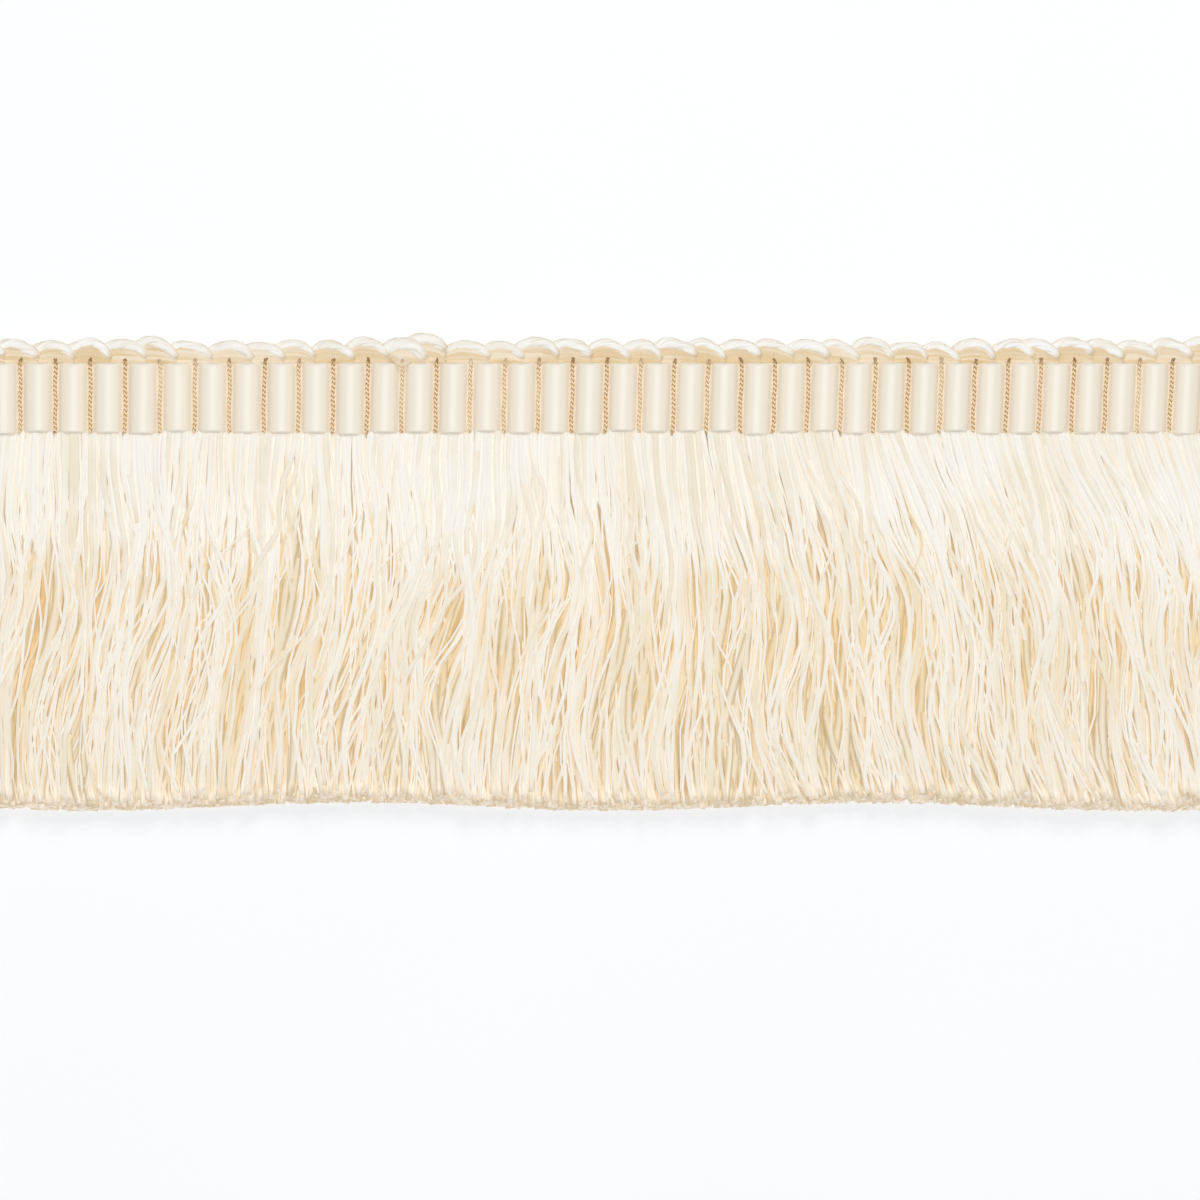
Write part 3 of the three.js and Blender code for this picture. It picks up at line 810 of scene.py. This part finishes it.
@dataclass
class Fringe:
    """The skirt of loose cut yarns, in layers from the table to the top of the pile."""

    plan: TrimPlan
    yarns_per_rib: int = 9
    layers: int = 9
    radius: float = 0.32
    flatness: float = 0.6
    tuft_reach: float = 0.52
    weave: float = 0.15
    # How a yarn wanders: turns over its length, reach, and the share that its neighbours share.
    wanders: tuple[tuple[float, float, float], ...] = ((0.9, 0.8, 0.8), (2.1, 0.32, 0.7), (4.9, 0.13, 0.4))
    stray_share: float = 0.06
    stray_margin: float = 7.0
    stray_reach: tuple[float, float] = (1.5, 5.0)
    dive_share: float = 0.35
    thin_sizes: tuple[float, float] = (0.5, 0.72)
    full_sizes: tuple[float, float] = (0.85, 1.4)
    short_share: float = 0.08
    short_lengths: tuple[float, float] = (0.55, 0.97)
    root_swell: float = 0.34
    under_swell: float = 1.5
    cut_mark: tuple[float, float] = (0.5, 2.3)
    seed: int = 23

    def tufts(self, x: Array, down: Array, layer: Array) -> Array:
        """Gives how far yarns are drawn aside into tufts, alike for yarns that lie close together."""
        rng = np.random.default_rng(self.seed)
        total = np.zeros(np.broadcast(x, down).shape)
        for number in range(12):
            across = 2 * math.pi / (rng.uniform(1.9, 7.5) if number < 9 else rng.uniform(9.0, 22.0))
            along = 2 * math.pi * rng.uniform(0.3, 2.6) * rng.choice([-1, 1])
            phase, drift = rng.random() * 2 * math.pi, rng.uniform(0.1, 0.4)
            total = total + np.sin(across * x + along * down + phase + drift * layer) / (across**0.7)
        held = 0.2 + 0.8 * (layer / (self.layers - 1)) ** 2
        return self.tuft_reach * 0.42 * held * total * smoothstep(down, 0.02, 0.5)

    def wander(self, count: int, down: Array, rng: np.random.Generator) -> Array:
        """Gives how far yarns wander: a few that lie side by side together, and each a little by itself.

        Args:
            count: How many yarns.
            down: The shares of the way down.
            rng: The source of chance.

        Returns:
            The distance along X for each yarn and point.
        """
        lock = np.cumsum(rng.random(count) < 0.3)
        free = smoothstep(down, 0.0, 0.35)
        total = np.zeros((count, down.shape[1]))
        for rate, size, shared in self.wanders:
            together = rng.normal(size=(count, 2))[lock]
            alone = rng.normal(size=(count, 2))
            draw = shared * together + (1 - shared) * alone
            turn = 2 * math.pi * rate * down * (1 + 0.2 * together[:, :1])
            total = total + size * (draw[:, :1] * np.sin(turn) + draw[:, 1:] * np.cos(turn))
        slope = 1.9 * rng.normal(size=count)[lock] + 0.55 * rng.normal(size=count)
        return total * free + slope[:, None] * down

    def lines(self, layer: int, points: int, rng: np.random.Generator) -> dict[str, Array]:
        """Lays one layer's yarns.

        Args:
            layer: Which layer, from 0 on the table.
            points: How many points along each yarn.
            rng: The source of chance.

        Returns:
            The yarns' centres, radii and marks.
        """
        plan = self.plan
        count = plan.rib_count * self.yarns_per_rib
        between = 0.018 + 0.94 * np.linspace(0, 1, points - 3)[1:] ** 1.1
        down = np.concatenate([[0, 0.018], between, [0.978, 1.0]])[None, :]
        in_row = np.arange(count) + 0.5 + 0.5 * (layer % 2 - 0.5) + 0.28 * rng.normal(size=count)
        place = np.clip(in_row / self.yarns_per_rib, 0.02, plan.rib_count - 0.02)
        rib = np.floor(place)
        within = place - rib - 0.5
        gathered = 0.93 + 0.07 * smoothstep(down, 0.0, 0.03)
        x0 = plan.edge_at(rib[:, None] + 0.5 + within[:, None] * gathered)

        # Every yarn follows the sway and the tufts, and wanders; a few stray across the others.
        free = smoothstep(down, 0.0, 0.3)
        stray = rng.random((count, 1)) < self.stray_share * (layer >= self.layers - 3)
        inwards = plan.edges[-1] - np.abs(x0)
        stray = stray & (inwards[:, :1] > self.stray_margin)
        bent = rng.uniform(0.1, 0.7, (count, 1))
        strayed = stray * rng.choice([-1, 1], (count, 1)) * rng.uniform(*self.stray_reach, (count, 1))
        x = plan.swayed(x0, down) + self.tufts(x0, down, layer) + self.wander(count, down, rng)
        x = x + strayed * smoothstep(down, bent, bent + rng.uniform(0.3, 0.8))

        # Heights: under the rib's rounded end at the root, then most of them close under the pile's top, and
        # evenly spread at the cut. In between the yarns weave over and under one another, and some dive.
        share = (layer + 0.5 + 0.3 * rng.normal(size=(count, 1))) / self.layers
        weave = np.sin(2 * math.pi * (rng.uniform(0.6, 1.6, (count, 1)) * down + rng.random((count, 1))))
        turn_down = rng.uniform(0.25, 0.7, (count, 1))
        dive = rng.uniform(0.2, 0.6, (count, 1)) * (rng.random((count, 1)) < self.dive_share)
        share = share + self.weave * weave * smoothstep(down, 0.12, 0.45)
        share = np.clip(share - dive * smoothstep(down, turn_down, turn_down + 0.3), 0.03, 1.03)
        root = 0.2 + share * (0.85 + 0.75 * plan.rib_rise(within[:, None] * 1.9))
        spread = smoothstep(down, 0.0, 0.045)
        half = self.radius * self.flatness
        high = share ** (1 - 0.5 * smoothstep(down, 0.05, 0.3) * (1 - smoothstep(down, 0.86, 0.99)))
        z = root * (1 - spread) + (half + high * (plan.pile_height(down) - 2 * half)) * spread
        z = np.maximum(z + 0.25 * stray * smoothstep(down, 0.1, 0.4), half)

        # The cut leans back, so the yarns of the upper layers are shorter.
        root_y = -plan.rib_top + 0.3 + plan.rib_end_step * uneven(rib, 1)[:, None]
        ragged = sum(np.sin(2 * math.pi * (x[:, -1:] / w + w)) for w in (11.3, 5.9, 3.1, 1.7))
        level = share[:, -1:]
        jitter = np.clip((0.04 + 0.34 * level**2) * (rng.normal(size=(count, 1)) + 0.6 * ragged), -0.8, 0.8)
        end_y = plan.cut_line(x[:, -1:]) + plan.cut_slant * z[:, -1:] + jitter
        short = (rng.random((count, 1)) < self.short_share) & (layer >= 6)
        length = np.where(short, rng.uniform(*self.short_lengths, (count, 1)), 1.0)
        y = root_y + (end_y - root_y) * down * length
        thin = rng.random((count, 1)) < 0.2 + 0.25 * level
        thin_size = rng.uniform(*self.thin_sizes, (count, 1))
        size = np.where(thin, thin_size, rng.uniform(*self.full_sizes, (count, 1)))
        radii = self.radius * size * np.where(stray, 0.8, 1.0)
        radii = radii * (self.under_swell if layer < Layer.TOP.value[1][0] else 1.0)
        radii = radii * (1 + 0.1 * np.sin(2 * math.pi * (2.5 * down + rng.random((count, 1)))))
        radii = radii * (1 + self.root_swell * (1 - smoothstep(down, 0.0, 0.35)))
        radii = radii * np.where(short, 1 - 0.6 * smoothstep(down, 0.86, 1.0), 1.0)
        # The cut ends are marked to be painted tan, partly their own tone and partly shade; less on the upper
        # layers, which are painted paler as in light.
        left = (1 - down) * (plan.fringe_length - 1)
        cut = (1 - smoothstep(left, *self.cut_mark)) * (1 - 0.6 * share**2) * np.where(short, 0.3, 1.0)
        rooted = 1 - smoothstep(down, 0.02, 0.45)
        # Painted shade: the lower layers are marked to be painted darker and golden, thin yarns a little
        # paler.
        shade_depth = np.clip(0.1 + 0.9 * share + 0.12 * thin, 0, 1)
        # At the two cut ends the lower yarns lie open to the light as well, so they are painted paler.
        shade_depth = shade_depth + 0.75 * (1 - shade_depth) * (1 - smoothstep(inwards, 0.3, 4.0))
        # So do all of them towards the cut, where the pile is thin: they are painted paler too.
        shade_depth = shade_depth + 0.55 * (1 - shade_depth) * smoothstep(down, 0.55, 0.97)
        # Near the roots the yarns of the upper layers are painted paler still, as if in full light.
        shade_depth = shade_depth + 0.7 * rooted * smoothstep(share, 0.1, 0.6) + 0 * x
        tint = np.broadcast_to(rng.random((count, 1)) ** 1.5 * np.where(thin, 0.3, 1.0), x.shape)
        radii = np.broadcast_to(radii, x.shape)
        flatness = self.flatness * (0.55 + 0.45 * smoothstep(down, 0.05, 0.4)) + 0 * x
        # The lowest yarns rest on the table.
        z = np.maximum(z, radii * flatness)
        centres = np.stack(np.broadcast_arrays(x, y, z), axis=-1)
        marks = {"shade_depth": shade_depth, "tint": tint, "cut": cut}
        return {"centres": centres, "radii": radii, "flatness": flatness, **marks}

    def build(self, finish: YarnFinish) -> None:
        """Makes the fringe in three pieces, from the table upwards."""
        rng = np.random.default_rng(self.seed + 1)
        material = finish.material()
        for part in Layer:
            name, layers, points, sides = part.value
            laid = [self.lines(layer, points, rng) for layer in layers]
            joined = {key: np.concatenate([each[key] for each in laid]) for key in laid[0]}
            marks = {mark: joined[mark] for mark in ("shade_depth", "tint", "cut")}
            batch = YarnBatch(joined["centres"], joined["radii"], sides, joined["flatness"], marks)
            Piece(name, batch.mesh(name)).dress(material, "fringe_yarn", "fringe")


@dataclass
class Studio:
    """The pale table, the soft lights and the camera straight above the trim."""

    plan: TrimPlan
    # The middle of the view, from the middle of the heading, and the width of what it shows.
    middle: tuple[float, float] = (-1.42, -27.2)
    width: float = 162.1
    height: float = 1500.0
    # The table's size and bevel, in metres.
    table_size: tuple[float, float, float] = (2.4, 2.4, 0.02)
    table_bevel: float = 0.004

    def build_table(self, finish: TableFinish) -> None:
        """Lays the table as a bevelled slab just under the trim."""
        shape = bmesh.new()
        bmesh.ops.create_cube(shape, size=1.0)
        bmesh.ops.scale(shape, vec=Vector(self.table_size), verts=shape.verts)
        bmesh.ops.translate(shape, vec=Vector((0, 0, -self.table_size[2] / 2)), verts=shape.verts)
        edges = shape.edges[:]
        bmesh.ops.bevel(
            shape, geom=edges, affect="EDGES", offset=self.table_bevel, segments=3, profile=0.5, material=-1
        )
        mesh = bpy.data.meshes.new("table")
        shape.to_mesh(mesh)
        shape.free()
        table = bpy.data.objects.new("table", mesh)
        bpy.context.scene.collection.objects.link(table)
        mesh.materials.append(finish.material())

    def add_softbox(self, name: str, place: tuple[float, float, float], size: float, power: float,
                    colour: str) -> None:
        """Hangs a square soft light that faces the trim.

        Args:
            name: The light's name.
            place: Where it hangs, in metres.
            size: The length of its side, in metres.
            power: Its power, in watts.
            colour: The colour of its light, as a hex value.
        """
        light = bpy.data.lights.new(name, "AREA")
        light.shape, light.size, light.energy = "SQUARE", size, power
        light.color = linear(colour)[:3]
        lamp = bpy.data.objects.new(name, light)
        bpy.context.scene.collection.objects.link(lamp)
        lamp.location = place
        aim = Vector((place[0], place[1], 0.0)) if place[2] > 1.0 else Vector()
        lamp.rotation_euler = (aim - Vector(place)).to_track_quat("-Z", "Y").to_euler()

    def light(self) -> None:
        """Lights the trim from all round, from the camera, and a little from beyond its looped edge."""
        world = bpy.data.worlds.new("studio")
        world.use_nodes = True
        background = world.node_tree.nodes["Background"]
        background.inputs["Color"].default_value = linear("#e4efff")
        background.inputs["Strength"].default_value = 0.24
        bpy.context.scene.world = world
        self.add_softbox("overhead", (0.0, -0.3, 2.4), 0.7, 15.2, "#fffefc")
        # A small light close over the camera reaches into the pile, so its gaps stay warm and never black.
        over_view = (self.middle[0] * MM, self.middle[1] * MM, 1.6)
        self.add_softbox("camera_light", over_view, 0.1, 11.3, "#fffefc")
        self.add_softbox("key", (0.12, 1.0, 0.78), 0.45, 3.9, "#fffcf6")
        settings = bpy.context.scene.view_settings
        settings.view_transform = "Standard"
        settings.look = "None"
        settings.exposure = 0.0

    def aim(self) -> None:
        """Sets the camera straight above the middle of the view."""
        data = bpy.data.cameras.new("camera")
        data.sensor_fit = "HORIZONTAL"
        data.sensor_width = 36.0
        data.lens = 36.0 * self.height / self.width
        data.clip_end = 10.0
        camera = bpy.data.objects.new("camera", data)
        bpy.context.scene.collection.objects.link(camera)
        camera.location = Vector((self.middle[0], self.middle[1], self.height)) * MM
        bpy.context.scene.camera = camera


def main() -> None:
    """Builds the trim and its scene."""
    logging.basicConfig(level=logging.INFO, format="%(name)s: %(message)s")
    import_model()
    plan = TrimPlan()
    # Each yarn's deep, middle, top and side colours are its one colour painted in shade and in light; its
    # emission is painted light too.
    cut_yarn = YarnFinish("cut_rayon_yarn", deep="#bb762b", middle="#dfc490", top="#f2eee5", tint="#e4d7ba",
                          side="#dbbf8c", shaded_side_share=0.8, patchiness=0.28, painted_glow=0.18)
    loop_yarn = YarnFinish("soft_loop_yarn", deep="#d0b78d", middle="#dac8aa", top="#f4f3ef", tint="#ebe4d6",
                           side="#e6d9c2", painted_glow=0.1, fuzz=0.55)
    gold = YarnFinish("gold_twisted_thread", deep="#8f6c3f", middle="#dcba84", top="#f8e1b9", tint="#f9ead0",
                      side="#c39658", shaded_side_share=0.4, fuzz=0.1, patchiness=0.05, painted_glow=0.03, roughness=0.42,
                      specular=0.5, sheen=0.2)
    Heading(plan).build(WovenFinish())
    BindingThreads(plan).build(gold)
    LoopEdge(plan).build(loop_yarn)
    Fringe(plan).build(cut_yarn)
    studio = Studio(plan)
    studio.build_table(TableFinish())
    studio.light()
    studio.aim()


if __name__ == "__main__":
    main()
